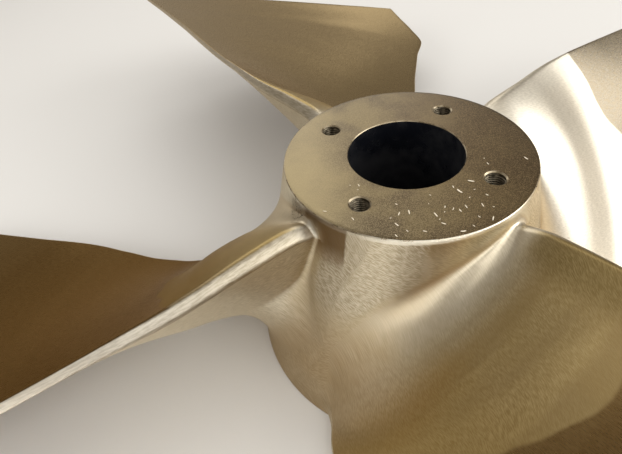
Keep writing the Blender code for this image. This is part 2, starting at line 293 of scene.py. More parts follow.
def fill(outer, holes, extra):
    """Triangles of the flat region between an outline and its holes. Points
    are numbered outline, holes, extra."""
    loops = [outer] + holes
    points = np.concatenate(loops + [extra])
    edges, base = [], 0
    for loop in loops:
        n = len(loop)
        edges += [(base + i, base + (i + 1) % n) for i in range(n)]
        base += n
    result = delaunay_2d_cdt([Vector((1000.0 * p[0], 1000.0 * p[1])) for p in points], edges, [], 0, 1e-5)
    origin = [o[0] if o else -1 for o in result[3]]
    corners = np.array([[origin[v] for v in f] for f in result[2]])
    middle = points[corners].mean(axis=1)
    keep = inside(middle, outer)
    for hole in holes:
        keep &= ~inside(middle, hole)
    corners = corners[keep]
    a, b, c = points[corners[:, 0]], points[corners[:, 1]], points[corners[:, 2]]
    turn = (b - a)[:, 0] * (c - a)[:, 1] - (b - a)[:, 1] * (c - a)[:, 0]
    corners[turn < 0] = corners[turn < 0][:, ::-1]
    return corners


def ring(radius, z, angles, centre=(0.0, 0.0)):
    return np.stack((centre[0] + radius * np.cos(angles), centre[1] + radius * np.sin(angles),
                     np.full(len(angles), z) if np.isscalar(z) else z), axis=1)


STROKE_SLOPE = math.radians(50.0)


def helix_place(theta, z):
    """Place along the blade roots' direction, on the hub's side."""
    return -(math.cos(STROKE_SLOPE) * MEAN_HUB_RADIUS * theta + math.sin(STROKE_SLOPE) * z)


def build_casting():
    """The whole casting as one closed mesh. Its finish values are the place along
    the blades' chords, the place along their spans, and which side it is: 1 on the
    trailing edge, 0 on the face, -1 on the back."""
    body = Body()
    radius, angle, z, behind, span, edge = blade_grid()
    rows, cols = z.shape
    grid = []
    for k in range(4):
        a = angle + 0.5 * math.pi * k
        points = np.stack((radius * np.cos(a), radius * np.sin(a), z), axis=2)
        on_hub = helix_place(angle + 0.5 * math.pi * (k or 4), z)
        on_blade = behind + helix_place(math.radians(33.4) + 0.5 * math.pi * (k or 4), HUB_LENGTH - 0.0066)
        finish = np.stack((on_hub + (on_blade - on_hub) * ramp(span, 0.0, 0.09), span, edge), axis=2)
        start = body.add(points, finish.reshape(-1, 3), ramp(span, 0.0, 0.02).reshape(-1))
        index = start + np.arange(rows * cols).reshape(rows, cols)
        grid.append(index)
        for j in range(rows - 1):
            body.band(index[j], index[j + 1], BLADE, flip=True)
        # the flat end of the tip, between the face and the back
        f, c = FACE_STEPS, CORNER_STEPS
        b0, b1, half = f + 2 * c + 1, 2 * f + 2 * c + 1, NOSE_STEPS // 2
        pairs = [(cols - i, b1 + i) for i in range(half - 1, 0, -1)]
        pairs += [(i, b1 - i) for i in range(f + 1)]
        pairs += [(f + i, b0 - i) for i in range(1, c + 1)]
        last = index[-1]
        body.face((last[b1 + half], last[pairs[0][1]], last[pairs[0][0]]), BLADE)
        for (p0, q0), (p1, q1) in zip(pairs, pairs[1:]):
            body.face((last[p0], last[q0], last[q1], last[p1]), BLADE)

    # --- conical side of the hub, in four like quarters between the blades
    zt, zb = HUB_LENGTH - RIM_CHAMFER, BASE_CHAMFER
    loop = np.stack((MEAN_HUB_RADIUS * angle[0], z[0]), axis=1)
    quarter, n, m = MEAN_HUB_RADIUS * 0.5 * math.pi, 48, 64
    levels = np.linspace(zb, zt, m)
    middle = []
    for level in levels:
        a, b = loop, np.roll(loop, -1, axis=0)
        hit = (a[:, 1] > level) != (b[:, 1] > level)
        x = a[hit, 0] + (level - a[hit, 1]) / (b[hit, 1] - a[hit, 1]) * (b[hit, 0] - a[hit, 0])
        middle.append(0.5 * (x.max() + x.min() + quarter) if len(x) else np.nan)
    middle = np.array(middle)
    good = ~np.isnan(middle)
    middle = np.interp(levels, levels[good], middle[good])
    right = np.stack((middle, levels), axis=1)
    left = right - (quarter, 0.0)
    top = np.stack((np.linspace(right[-1, 0], left[-1, 0], n + 1)[1:-1], np.full(n - 1, zt)), axis=1)
    low = np.stack((np.linspace(left[0, 0], right[0, 0], n + 1)[1:-1], np.full(n - 1, zb)), axis=1)
    outer = np.concatenate((right, top, left[::-1], low))
    step = 0.0048
    gx, gz = np.meshgrid(np.arange(left[:, 0].min(), right[:, 0].max(), step),
                         np.arange(zb + 0.5 * step, zt, 0.866 * step))
    gx = gx + 0.5 * step * (np.arange(gx.shape[0]) % 2)[:, None]
    extra = np.stack((gx.ravel(), gz.ravel()), axis=1)
    extra = extra[inside(extra, outer) & ~inside(extra, loop)]
    extra = extra[far_from(extra, outer, 0.55 * step) & far_from(extra, loop, 0.55 * step)] if len(extra) else extra
    triangles = fill(outer, [loop], extra)

    def on_cone(flat, k):
        a, r = flat[:, 0] / MEAN_HUB_RADIUS + 0.5 * math.pi * k, hub_radius(flat[:, 1])
        points = np.stack((r * np.cos(a), r * np.sin(a), flat[:, 1]), axis=1)
        shifts = np.concatenate([loop + (d, 0.0) for d in (-quarter, 0.0, quarter)])
        gaps = ((flat[:, None, :] - shifts[None]) ** 2).sum(axis=2)
        away, side = np.sqrt(gaps.min(axis=1)), np.minimum(edge[0][gaps.argmin(axis=1) % cols], 0.0)
        place = helix_place(flat[:, 0] / MEAN_HUB_RADIUS + 0.5 * math.pi * (k or 4), flat[:, 1])
        finish = np.stack((place, -away, side), axis=1)
        return body.add(points, finish, 0.0 * r) + np.arange(len(flat))

    seams = [on_cone(right, k) for k in range(4)]
    rim, base = [], []
    for k in range(4):
        number = np.concatenate((seams[k], on_cone(top, k), seams[k - 1][::-1], on_cone(low, k),
                                 grid[k][0], on_cone(extra, k)))
        for t in triangles:
            body.face(number[t], BLADE)
        if k == 1:      # the stroke pattern starts here, at the back of the hub
            body.start_faces = range(len(body.faces) - len(triangles), len(body.faces))
            body.start_points = set(int(i) for i in seams[0])
        rim += [number[i] for i in range(m + n - 2, m - 2, -1)]
        base += [number[i] for i in range(2 * m + n - 1, 2 * m + 2 * n - 2)] + [number[0]]

    # --- chamfered rim, turned faces and bore
    everything = np.concatenate(body.points)
    rim_angles = np.arctan2(everything[rim, 1], everything[rim, 0])
    base_angles = np.arctan2(everything[base, 1], everything[base, 0])
    plain = (0.0, -0.02, 0.0)

    def loop_of(radius, z, angles, centre=(0.0, 0.0)):
        return body.add(ring(radius, z, angles, centre), plain, 0.0) + np.arange(len(angles))

    ca, cb = RIM_CHAMFER, BORE_CHAMFER
    rim_a = loop_of(HUB_AFT_RADIUS - 0.30 * ca, HUB_LENGTH - 0.30 * ca, rim_angles)
    rim_b = loop_of(HUB_AFT_RADIUS - ca, HUB_LENGTH, rim_angles)
    body.band(rim, rim_a, CHAMFER)
    body.band(rim_a, rim_b, CHAMFER)
    turn = np.linspace(0.0, 2.0 * math.pi, 128, endpoint=False)
    mouth = loop_of(BORE_AFT_RADIUS + cb, HUB_LENGTH, turn)
    holes, hole_loops, hole_centres = [], [], []
    around = np.linspace(0.0, 2.0 * math.pi, 36, endpoint=False)
    for k in range(4):
        a = math.radians(HOLE_ANGLE + 90.0 * k)
        centre = (HOLE_CIRCLE * math.cos(a), HOLE_CIRCLE * math.sin(a))
        hole_centres.append(centre)
        hole_loops.append(loop_of(HOLE_MOUTH, HUB_LENGTH, around, centre))
        holes.append(ring(HOLE_MOUTH, HUB_LENGTH, around, centre)[:, :2])
    rim_flat = ring(HUB_AFT_RADIUS - ca, 0.0, rim_angles)[:, :2]
    mouth_flat = ring(BORE_AFT_RADIUS + cb, 0.0, turn)[:, :2]
    inner = []
    for r in np.arange(0.0610, 0.1175, 0.0042):
        count = int(2.0 * math.pi * r / 0.0046)
        inner.append(ring(r, 0.0, 2.0 * math.pi * (np.arange(count) + 0.5 * (len(inner) % 2)) / count)[:, :2])
    inner = np.concatenate(inner)
    for h in holes:
        inner = inner[far_from(inner, h, 0.0028) & ~inside(inner, h)]
    inner = inner[far_from(inner, rim_flat, 0.0026) & far_from(inner, mouth_flat, 0.0026)]
    tris = fill(rim_flat, [mouth_flat] + holes, inner)
    more = body.add(np.column_stack((inner, np.full(len(inner), HUB_LENGTH))), plain, 0.0) + np.arange(len(inner))
    number = np.concatenate([rim_b, mouth] + hole_loops + [more])
    for t in tris:
        body.face(number[t], TURNED)

    bore_forward = BORE_AFT_RADIUS + BORE_TAPER * HUB_LENGTH
    previous = mouth
    for z0 in np.linspace(HUB_LENGTH - cb, cb, 20):
        level = loop_of(BORE_AFT_RADIUS + BORE_TAPER * (HUB_LENGTH - z0), float(z0), turn)
        body.band(previous, level, CHAMFER if previous is mouth else BORE, flip=False)
        previous = level
    floor_mouth = loop_of(bore_forward + cb, 0.0, turn)
    body.band(previous, floor_mouth, CHAMFER, flip=False)
    cf = BASE_CHAMFER
    values = np.concatenate(body.finish)[base]
    base_a = body.add(ring(HUB_FORWARD_RADIUS - 0.30 * cf, 0.30 * cf, base_angles), values, 0.0) + np.arange(len(base))
    base_b = body.add(ring(HUB_FORWARD_RADIUS - cf, 0.0, base_angles), values, 0.0) + np.arange(len(base))
    body.band(base, base_a, BLADE, flip=True)
    body.band(base_a, base_b, BLADE, flip=True)
    base_flat = ring(HUB_FORWARD_RADIUS - cf, 0.0, base_angles)[:, :2]
    floor_flat = ring(bore_forward + cb, 0.0, turn)[:, :2]
    tris = fill(base_flat, [floor_flat], np.zeros((0, 2)))
    number = np.concatenate((base_b, floor_mouth))
    for t in tris:
        body.face(number[t][::-1], TURNED)

    # --- tapped holes: countersink, thread, plain end and drill point
    crest = 0.00058
    depths = np.concatenate(([HOLE_MOUTH - HOLE_RADIUS], np.arange(0.0019, 0.0370, THREAD_PITCH / 7.0)))
    for centre, entry in zip(hole_centres, hole_loops):
        previous = entry
        for i, depth in enumerate(depths):
            size = crest * ramp(depth, 0.0012, 0.0040) * (1.0 - ramp(depth, 0.0345, 0.0368))
            wave = np.cos(2.0 * math.pi * depth / THREAD_PITCH - around)
            r = HOLE_RADIUS - 0.0002 - size * (wave - 0.25 * np.cos(4.0 * math.pi * depth / THREAD_PITCH - 2.0 * around))
            points = np.stack((centre[0] + r * np.cos(around), centre[1] + r * np.sin(around),
                               np.full(len(around), HUB_LENGTH - depth)), axis=1)
            level = body.add(points, plain, 0.0) + np.arange(len(around))
            body.band(previous, level, CHAMFER if i == 0 else THREAD, flip=False)
            previous = level
        for r, depth in ((HOLE_RADIUS - 0.0004, 0.0385), (HOLE_RADIUS - 0.0004, HOLE_DEPTH),
                         (0.5 * HOLE_RADIUS, HOLE_DEPTH + 0.0023)):
            level = loop_of(r, HUB_LENGTH - depth, around, centre)
            body.band(previous, level, THREAD, flip=False)
            previous = level
        point = body.add([(centre[0], centre[1], HUB_LENGTH - HOLE_DEPTH - 0.0046)], plain, 0.0)
        for i in range(len(around)):
            body.face((previous[i], previous[(i + 1) % len(around)], point), THREAD)
    return body


def wavy(points, normals, amount, finish):
    """Slight unevenness of a surface ground by hand, in bands along the chord."""
    out = points.copy()
    for i in np.nonzero(amount > 0.001)[0]:
        p = Vector(points[i])
        broad = noise.noise(p * 8.0 + Vector((3.1, 7.7, 1.3)))
        near = noise.noise(p * 22.0 + Vector((11.0, 2.0, 5.0)))
        band = noise.noise(Vector((finish[i, 0] * 3.0, finish[i, 1] * 24.0, 4.0)))
        band *= max(0.0, 1.0 - abs(finish[i, 1] - 0.09) / 0.09) ** 0.5
        out[i] += normals[i] * amount[i] * (0.00050 * broad + 0.00015 * near + 0.00040 * band)
    return out


def make_object(name, points, faces, slots, materials):
    mesh = bpy.data.meshes.new(name)
    mesh.from_pydata(points.tolist(), [], faces)
    for material in materials:
        mesh.materials.append(material)
    mesh.polygons.foreach_set("material_index", slots)
    mesh.update()
    obj = bpy.data.objects.new(name, mesh)
    bpy.context.scene.collection.objects.link(obj)
    return obj


# ---- finishes --------------------------------------------------------------
class Tree:
    """Short ways to build a material's nodes."""

    def __init__(self, name):
        self.material = bpy.data.materials.new(name)
        self.material.use_nodes = True
        self.nodes, self.links = self.material.node_tree.nodes, self.material.node_tree.links
        self.shader = self.nodes["Principled BSDF"]
        self.place = self.node("ShaderNodeTexCoord").outputs["Object"]
        attribute = self.node("ShaderNodeAttribute")
        attribute.attribute_name = "finish"
        self.finish = attribute.outputs["Vector"]
        attribute = self.node("ShaderNodeAttribute")
        attribute.attribute_name = "across"
        self.across = attribute.outputs["Vector"]

    def node(self, kind, **values):
        node = self.nodes.new(kind)
        for key, value in values.items():
            setattr(node, key, value)
        return node

    def set(self, socket, value):
        if isinstance(value, bpy.types.NodeSocket):
            self.links.new(value, socket)
        elif isinstance(value, (tuple, list)) and len(value) == 3 and socket.type == "RGBA":
            socket.default_value = (*value, 1.0)
        else:
            socket.default_value = value

    def math(self, operation, *values, clamp=False):
        node = self.node("ShaderNodeMath", operation=operation, use_clamp=clamp)
        for socket, value in zip(node.inputs, values):
            self.set(socket, value)
        return node.outputs[0]

    def vector(self, operation, *values):
        node = self.node("ShaderNodeVectorMath", operation=operation)
        for socket, value in zip(node.inputs, values):
            self.set(socket, value)
        return node.outputs["Value" if operation in ("LENGTH", "DOT_PRODUCT", "DISTANCE") else "Vector"]

    def turned(self, vector, angles, scale):
        node = self.node("ShaderNodeMapping")
        self.set(node.inputs["Vector"], vector)
        node.inputs["Rotation"].default_value = [math.radians(a) for a in angles]
        node.inputs["Scale"].default_value = scale
        return node.outputs["Vector"]

    def noise(self, vector, scale=1.0, detail=3.0, roughness=0.55, distortion=0.0):
        node = self.node("ShaderNodeTexNoise")
        self.set(node.inputs["Vector"], vector)
        node.inputs["Scale"].default_value = scale
        node.inputs["Detail"].default_value = detail
        node.inputs["Roughness"].default_value = roughness
        node.inputs["Distortion"].default_value = distortion
        return node.outputs["Fac"]

    def map(self, value, low, high, to_low=0.0, to_high=1.0, smooth=True):
        node = self.node("ShaderNodeMapRange", interpolation_type="SMOOTHSTEP" if smooth else "LINEAR")
        for key, v in (("Value", value), ("From Min", low), ("From Max", high), ("To Min", to_low), ("To Max", to_high)):
            self.set(node.inputs[key], v)
        return node.outputs["Result"]

    def mix(self, factor, a, b):
        node = self.node("ShaderNodeMix", data_type="RGBA")
        self.set(node.inputs["Factor"], factor)
        self.set(node.inputs[6], a)
        self.set(node.inputs[7], b)
        return node.outputs[2]

    def blend(self, factor, a, b):
        node = self.node("ShaderNodeMix", data_type="FLOAT")
        self.set(node.inputs["Factor"], factor)
        self.set(node.inputs[2], a)
        self.set(node.inputs[3], b)
        return node.outputs[0]

    def split(self, vector):
        node = self.node("ShaderNodeSeparateXYZ")
        self.set(node.inputs[0], vector)
        return node.outputs

    def join(self, x, y, z):
        node = self.node("ShaderNodeCombineXYZ")
        for socket, value in zip(node.inputs, (x, y, z)):
            self.set(socket, value)
        return node.outputs[0]

    def bump(self, height, distance, strength=1.0, normal=None):
        node = self.node("ShaderNodeBump")
        node.inputs["Strength"].default_value = strength
        node.inputs["Distance"].default_value = distance
        self.set(node.inputs["Height"], height)
        if normal is not None:
            self.set(node.inputs["Normal"], normal)
        return node.outputs["Normal"]


def ground_bronze():
    """Hand-ground bronze: open strokes round the roots, a closer satin finish
    further out, with an uneven line between them."""
    t = Tree("ground_bronze")
    x, y, z = t.split(t.place)
    chordwise, spanwise, side = t.split(t.finish)
    edge, face = t.map(side, 0.3, 0.8), t.map(side, -0.7, -0.2)
    radius = t.vector("LENGTH", t.join(x, y, 0.0))
    drift = t.noise(t.place, 7.0, 2.0)
    jag = t.noise(t.place, 160.0, 3.0, 0.7)
    limit = t.math("ADD", t.math("MULTIPLY", drift, 0.060), t.math("MULTIPLY", jag, 0.0014))
    limit = t.math("ADD", limit, t.math("ADD", t.map(y, -0.12, -0.20, 0.232, 0.214), t.map(x, 0.12, 0.20, 0.0, 0.035)))
    rear = t.map(side, -0.95, -0.7, 1.0, 0.0)
    limit = t.math("ADD", limit, t.math("MULTIPLY", rear, 0.16))        # further out on the back
    outer = t.map(t.math("SUBTRACT", radius, limit), -0.0022, 0.0022)

    sway = t.math("MULTIPLY", t.noise(t.place, 8.0, 1.0), 0.040)
    span_out = t.math("MAXIMUM", spanwise, 0.0)
    span_in = t.math("MULTIPLY", t.math("MULTIPLY", t.math("MINIMUM", spanwise, 0.0), face), 0.55)
    across = t.math("ADD", t.math("SUBTRACT", t.math("ADD", chordwise, span_in), t.math("MULTIPLY", t.math("MULTIPLY", span_out, face), 0.60)), sway)
    slant = t.math("ADD", across, t.math("MULTIPLY", t.math("ABSOLUTE", spanwise), 0.35))
    lean = t.math("SUBTRACT", across, t.math("MULTIPLY", t.math("ABSOLUTE", spanwise), 0.25))

    def strokes(place, fine, along, seed):
        wide = t.noise(t.join(t.math("MULTIPLY", place, fine), t.math("MULTIPLY", spanwise, along), seed), 1.0, 2.0, 0.6)
        thin = t.noise(t.join(t.math("MULTIPLY", place, 2.0 * fine), t.math("MULTIPLY", spanwise, 1.4 * along), seed + 5.0), 1.0, 1.0, 0.5)
        return t.blend(0.5, wide, thin)

    patch = t.noise(t.place, 13.0, 2.0)
    first = t.blend(t.map(patch, 0.45, 0.50), strokes(across, 900.0, 130.0, 0.0), strokes(slant, 820.0, 130.0, 3.0))
    opened = t.blend(t.map(patch, 0.55, 0.60), first, strokes(lean, 860.0, 130.0, 9.0))
    satin = strokes(across, 950.0, 210.0, 17.0)
    closer = t.math("MULTIPLY", face, t.map(spanwise, 0.004, 0.030))
    opened = t.blend(closer, opened, satin)
    lines = t.blend(outer, opened, strokes(chordwise, 950.0, 160.0, 23.0))
    grain = t.noise(t.place, 900.0, 2.0, 0.6)
    level = t.noise(t.join(t.math("MULTIPLY", x, 110.0), t.math("MULTIPLY", y, 110.0), t.math("MULTIPLY", z, 1100.0)), 1.0, 2.0, 0.6)
    lines = t.blend(t.math("MULTIPLY", edge, 0.8), lines, level)
    cloud = t.noise(t.place, 11.0, 3.0, 0.6)
    bands = t.noise(t.join(t.math("MULTIPLY", chordwise, 2.5), t.math("MULTIPLY", spanwise, 26.0), 1.0), 1.0, 3.0, 0.6)

    inner_colour = t.mix(t.map(lines, 0.38, 0.62), (0.43, 0.355, 0.235), (0.57, 0.485, 0.345))
    inner_colour = t.mix(t.map(cloud, 0.42, 0.68, 0.0, 0.7), inner_colour, (0.45, 0.345, 0.20))
    inner_colour = t.mix(t.map(bands, 0.45, 0.68, 0.0, 0.4), inner_colour, (0.40, 0.325, 0.185))
    # the face is ground closer and has an olive cast, on the hub only near its foot
    around = t.math("COSINE", t.math("MULTIPLY", t.math("ADD", t.math("ARCTAN2", y, x), math.radians(118.3)), 4.0))
    around = t.math("ADD", around, t.math("MULTIPLY", t.math("SUBTRACT", lines, 0.5), 1.2))
    low = t.map(z, 0.140, 0.180)
    open_patch = t.math("MULTIPLY", t.map(around, 0.0, 0.12), t.math("MULTIPLY", low, t.map(spanwise, -0.012, -0.002, 1.0, 0.0)))
    olive = t.math("MULTIPLY", face, t.map(spanwise, -0.045, -0.025))
    olive = t.math("MAXIMUM", t.math("MULTIPLY", olive, 0.12), t.math("MULTIPLY", face, t.map(spanwise, 0.010, 0.045)))
    olive = t.math("MULTIPLY", olive, t.math("SUBTRACT", 1.0, open_patch))
    ground = t.mix(t.map(lines, 0.40, 0.62), (0.360, 0.244, 0.086), (0.455, 0.330, 0.138))
    ground = t.mix(t.map(bands, 0.42, 0.60, 0.0, 0.8), ground, (0.320, 0.214, 0.080))
    inner_colour = t.mix(t.math("MULTIPLY", olive, 0.85), inner_colour, ground)
    high_face = t.math("MULTIPLY", face, t.math("MULTIPLY", t.map(z, 0.226, 0.240), t.map(spanwise, 0.012, 0.030)))
    inner_colour = t.mix(t.math("MULTIPLY", high_face, 0.75), inner_colour, t.mix(t.map(lines, 0.40, 0.62), (0.225, 0.155, 0.058), (0.305, 0.22, 0.092)))
    low_face = t.math("MULTIPLY", face, t.math("MULTIPLY", t.map(z, 0.20, 0.12), t.map(spanwise, 0.012, 0.05)))
    inner_colour = t.mix(t.math("MULTIPLY", low_face, 0.6), inner_colour, t.mix(t.map(lines, 0.40, 0.62), (0.30, 0.195, 0.062), (0.40, 0.275, 0.10)))
    inner_colour = t.mix(t.math("MULTIPLY", open_patch, 0.75), inner_colour, t.mix(t.map(lines, 0.42, 0.58), (0.35, 0.29, 0.195), (0.61, 0.545, 0.425)))
    inner_colour = t.mix(t.math("MULTIPLY", t.map(z, 0.17, 0.10, 0.0, 0.6), t.map(spanwise, 0.02, 0.06, 1.0, 0.0)), inner_colour, t.mix(t.map(lines, 0.40, 0.60), (0.36, 0.255, 0.14), (0.50, 0.385, 0.245)))
    # the backs near the roots painted lighter: painted light for the floor below them, which lies in shade
    inner_colour = t.mix(t.math("MULTIPLY", rear, t.map(spanwise, 0.0, 0.02, 0.0, 0.8)), inner_colour, t.mix(t.map(lines, 0.40, 0.60), (0.52, 0.455, 0.34), (0.72, 0.655, 0.53)))
    beside = t.math("MULTIPLY", t.map(spanwise, -0.032, -0.012), t.map(spanwise, -0.006, 0.0, 1.0, 0.0))
    beside = t.math("MULTIPLY", t.math("MULTIPLY", beside, face), t.map(z, 0.19, 0.22, 0.0, 0.85))
    beside = t.math("MULTIPLY", beside, t.math("SUBTRACT", 1.0, open_patch))
    inner_colour = t.mix(beside, inner_colour, t.mix(t.map(lines, 0.42, 0.58), (0.53, 0.49, 0.39), (0.69, 0.65, 0.54)))
    # one blade's face painted brighter: painted highlight for the strong light it reflects
    painted_bright_face = t.math("MULTIPLY", t.map(x, 0.07, 0.15), t.map(y, -0.12, -0.02))
    painted_bright_face = t.math("MULTIPLY", t.math("MULTIPLY", painted_bright_face, face), t.map(t.math("SUBTRACT", x, y), 0.0, 0.05, 0.0, 0.75))
    inner_colour = t.mix(painted_bright_face, inner_colour, t.mix(t.map(lines, 0.38, 0.62), (0.60, 0.55, 0.47), (0.76, 0.71, 0.62)))
    # 1 in the sector of the right blade and -1 in that of the left one
    sector = t.math("DIVIDE", t.math("ADD", t.math("MULTIPLY", x, math.cos(math.radians(5.0))), t.math("MULTIPLY", y, math.sin(math.radians(5.0)))), radius)
    # painted dark reflection: the left blade's face darker, as it reflects the floor in shade behind the hub
    painted_dark_reflection = t.math("MULTIPLY", t.map(x, -0.13, -0.215), t.map(sector, -0.669, -0.743))
    painted_dark_reflection = t.math("MULTIPLY", painted_dark_reflection, face)
    inner_colour = t.mix(t.math("MULTIPLY", painted_dark_reflection, 0.8), inner_colour, t.mix(t.map(lines, 0.40, 0.62), (0.19, 0.14, 0.082), (0.28, 0.215, 0.135)))
    # painted shadow and dark reflection on the hub beside one trailing edge's root, with a sharp edge along a line
    turn = t.math("ADD", t.math("ARCTAN2", y, x), t.math("MULTIPLY", t.math("SUBTRACT", jag, 0.5), 0.02))
    painted_shade = t.math("MULTIPLY", t.map(turn, math.radians(-128.2), math.radians(-127.0), 1.0, 0.0),
                  t.map(turn, math.radians(-152.0), math.radians(-148.0)))
    low_end = t.math("ADD", z, t.math("MULTIPLY", t.math("SUBTRACT", cloud, 0.5), 0.03))
    painted_shade = t.math("MULTIPLY", painted_shade, t.map(low_end, 0.200, 0.232, 0.0, 0.92))
    painted_shade = t.math("MULTIPLY", painted_shade, t.map(spanwise, -0.002, 0.003, 1.0, 0.0))
    inner_colour = t.mix(painted_shade, inner_colour, (0.15, 0.09, 0.038))
    outer_colour = t.mix(t.map(bands, 0.35, 0.65), (0.170, 0.098, 0.034), (0.225, 0.140, 0.054))
    # painted light: the outer zones lighter towards +X and +Y, the side the strong light falls from
    outer_colour = t.mix(t.map(t.math("ADD", x, y), -0.10, 0.20, 0.0, 0.8), outer_colour, (0.235, 0.178, 0.098))
    # painted highlight: the right blade's outer zone lighter and greyer, for the strong light it reflects
    outer_colour = t.mix(t.map(sector, 0.669, 0.743, 0.0, 0.9), outer_colour, (0.205, 0.178, 0.138))
    # the left blade's outer zone darker still: painted dark reflection
    outer_colour = t.mix(t.math("MULTIPLY", painted_dark_reflection, 0.8), outer_colour, (0.115, 0.070, 0.031))
    outer_colour = t.mix(t.map(radius, 0.46, 0.66, 0.0, 0.65), outer_colour, (0.225, 0.165, 0.088))        # more alike towards the tips
    outer_colour = t.mix(t.map(lines, 0.42, 0.62, 0.0, 0.30), outer_colour, (0.28, 0.190, 0.086))
    colour = t.mix(outer, inner_colour, outer_colour)
    # trailing edges lighter, more so further out: partly worn bright, partly a painted highlight along the ridge
    colour = t.mix(t.math("MULTIPLY", edge, 0.72), colour, t.mix(t.map(radius, 0.20, 0.33), t.mix(t.map(lines, 0.36, 0.62), (0.37, 0.325, 0.25), (0.54, 0.485, 0.395)), t.mix(t.map(lines, 0.36, 0.62), (0.56, 0.505, 0.41), (0.74, 0.685, 0.58))))
    # painted highlight in a band just under the rim, bright across the front and dim at the sides
    painted_rim_highlight = t.math("MULTIPLY", t.map(t.math("ADD", z, t.math("MULTIPLY", jag, 0.0016)), 0.2478, 0.2496), t.map(radius, 0.124, 0.128, 1.0, 0.0))
    way = t.math("ARCTAN2", y, x)
    painted_rim_highlight = t.math("MULTIPLY", painted_rim_highlight, t.math("MULTIPLY", t.map(way, math.radians(-128.0), math.radians(-108.0), 0.15, 0.7), t.map(way, math.radians(-62.0), math.radians(-46.0), 1.0, 0.1)))
    colour = t.mix(painted_rim_highlight, colour, (0.80, 0.74, 0.62))
    # painted highlight along the fillet at the foot of the face
    painted_streak = t.math("MULTIPLY", face, t.map(t.math("ABSOLUTE", t.math("SUBTRACT", spanwise, 0.006)), 0.004, 0.016, 0.3, 0.0))
    colour = t.mix(t.math("MULTIPLY", painted_streak, t.map(z, 0.13, 0.18)), colour, (0.66, 0.60, 0.50))
    # pits where the casting was left rough, by the end of one trailing edge
    away = t.vector("LENGTH", t.vector("SUBTRACT", t.place, (-0.1115, -0.050, 0.2415)))
    near = t.map(t.math("ADD", away, t.math("MULTIPLY", t.math("SUBTRACT", t.noise(t.place, 90.0, 3.0), 0.5), 0.014)), 0.007, 0.014, 1.0, 0.0)
    pits = t.math("MULTIPLY", t.map(t.noise(t.place, 480.0, 3.0, 0.7), 0.54, 0.62), near)
    colour = t.mix(t.math("MULTIPLY", near, 0.5), colour, (0.38, 0.32, 0.235))
    colour = t.mix(pits, colour, (0.11, 0.09, 0.065))
    t.set(t.shader.inputs["Base Color"], colour)
    t.shader.inputs["Metallic"].default_value = 1.0
    rough = t.blend(outer, t.map(lines, 0.3, 0.7, 0.28, 0.38), t.map(lines, 0.3, 0.7, 0.25, 0.32))
    rough = t.math("ADD", rough, t.math("MULTIPLY", edge, 0.09))
    coarse = t.math("MAXIMUM", open_patch, t.math("SUBTRACT", 1.0, t.math("MAXIMUM", face, outer)))
    rough = t.math("ADD", rough, t.math("MULTIPLY", coarse, 0.10))
    t.set(t.shader.inputs["Roughness"], rough)
    t.shader.inputs["Anisotropic"].default_value = 0.5
    corner = t.math("MULTIPLY", t.map(side, 0.03, 0.35), t.map(side, 0.65, 1.0, 0.55, 0.0))
    t.set(t.shader.inputs["Specular Tint"], t.mix(t.math("MAXIMUM", painted_dark_reflection, corner), t.mix(outer, (0.95, 0.88, 0.76), (0.90, 0.80, 0.66)), t.mix(outer, (0.56, 0.42, 0.275), (0.72, 0.57, 0.44))))
    t.set(t.shader.inputs["Tangent"], t.across)
    normal = t.bump(lines, 0.00013, 0.8)
    normal = t.bump(grain, 0.00006, 0.5, normal)
    t.set(t.shader.inputs["Normal"], t.bump(t.math("MULTIPLY", pits, -1.0), 0.0008, 0.8, normal))
    return t.material


def turned_bronze():
    """Lathe-turned face: fine rings and dull speckle, painted darker towards +X and lighter towards -X for the
    reflections across it.
    """
    t = Tree("turned_bronze")
    x, y, z = t.split(t.place)
    radius = t.vector("LENGTH", t.join(x, y, 0.0))
    rings = t.noise(t.join(t.math("MULTIPLY", radius, 1400.0), t.math("MULTIPLY", x, 6.0), t.math("MULTIPLY", y, 6.0)), 1.0, 2.0)
    speckle = t.noise(t.place, 1300.0, 2.0, 0.8)
    cloud = t.noise(t.place, 14.0, 3.0, 0.6)
    colour = t.mix(t.map(speckle, 0.42, 0.62), (0.072, 0.050, 0.027), (0.235, 0.18, 0.105))
    colour = t.mix(t.map(cloud, 0.42, 0.66, 0.0, 0.35), colour, (0.33, 0.25, 0.12))
    # painted shade: darker towards +X
    colour = t.mix(t.map(x, -0.06, 0.08, 0.0, 0.70), colour, t.mix(t.map(speckle, 0.45, 0.60), (0.07, 0.044, 0.018), (0.20, 0.13, 0.06)))
    # painted light: lighter towards -X
    colour = t.mix(t.map(x, -0.04, -0.10, 0.0, 0.45), colour, (0.40, 0.315, 0.175))
    t.set(t.shader.inputs["Base Color"], colour)
    t.shader.inputs["Metallic"].default_value = 1.0
    t.set(t.shader.inputs["Roughness"], t.map(speckle, 0.35, 0.65, 0.30, 0.46))
    normal = t.bump(rings, 0.00012, 0.4)
    t.set(t.shader.inputs["Normal"], t.bump(speckle, 0.00012, 0.6, normal))
    return t.material


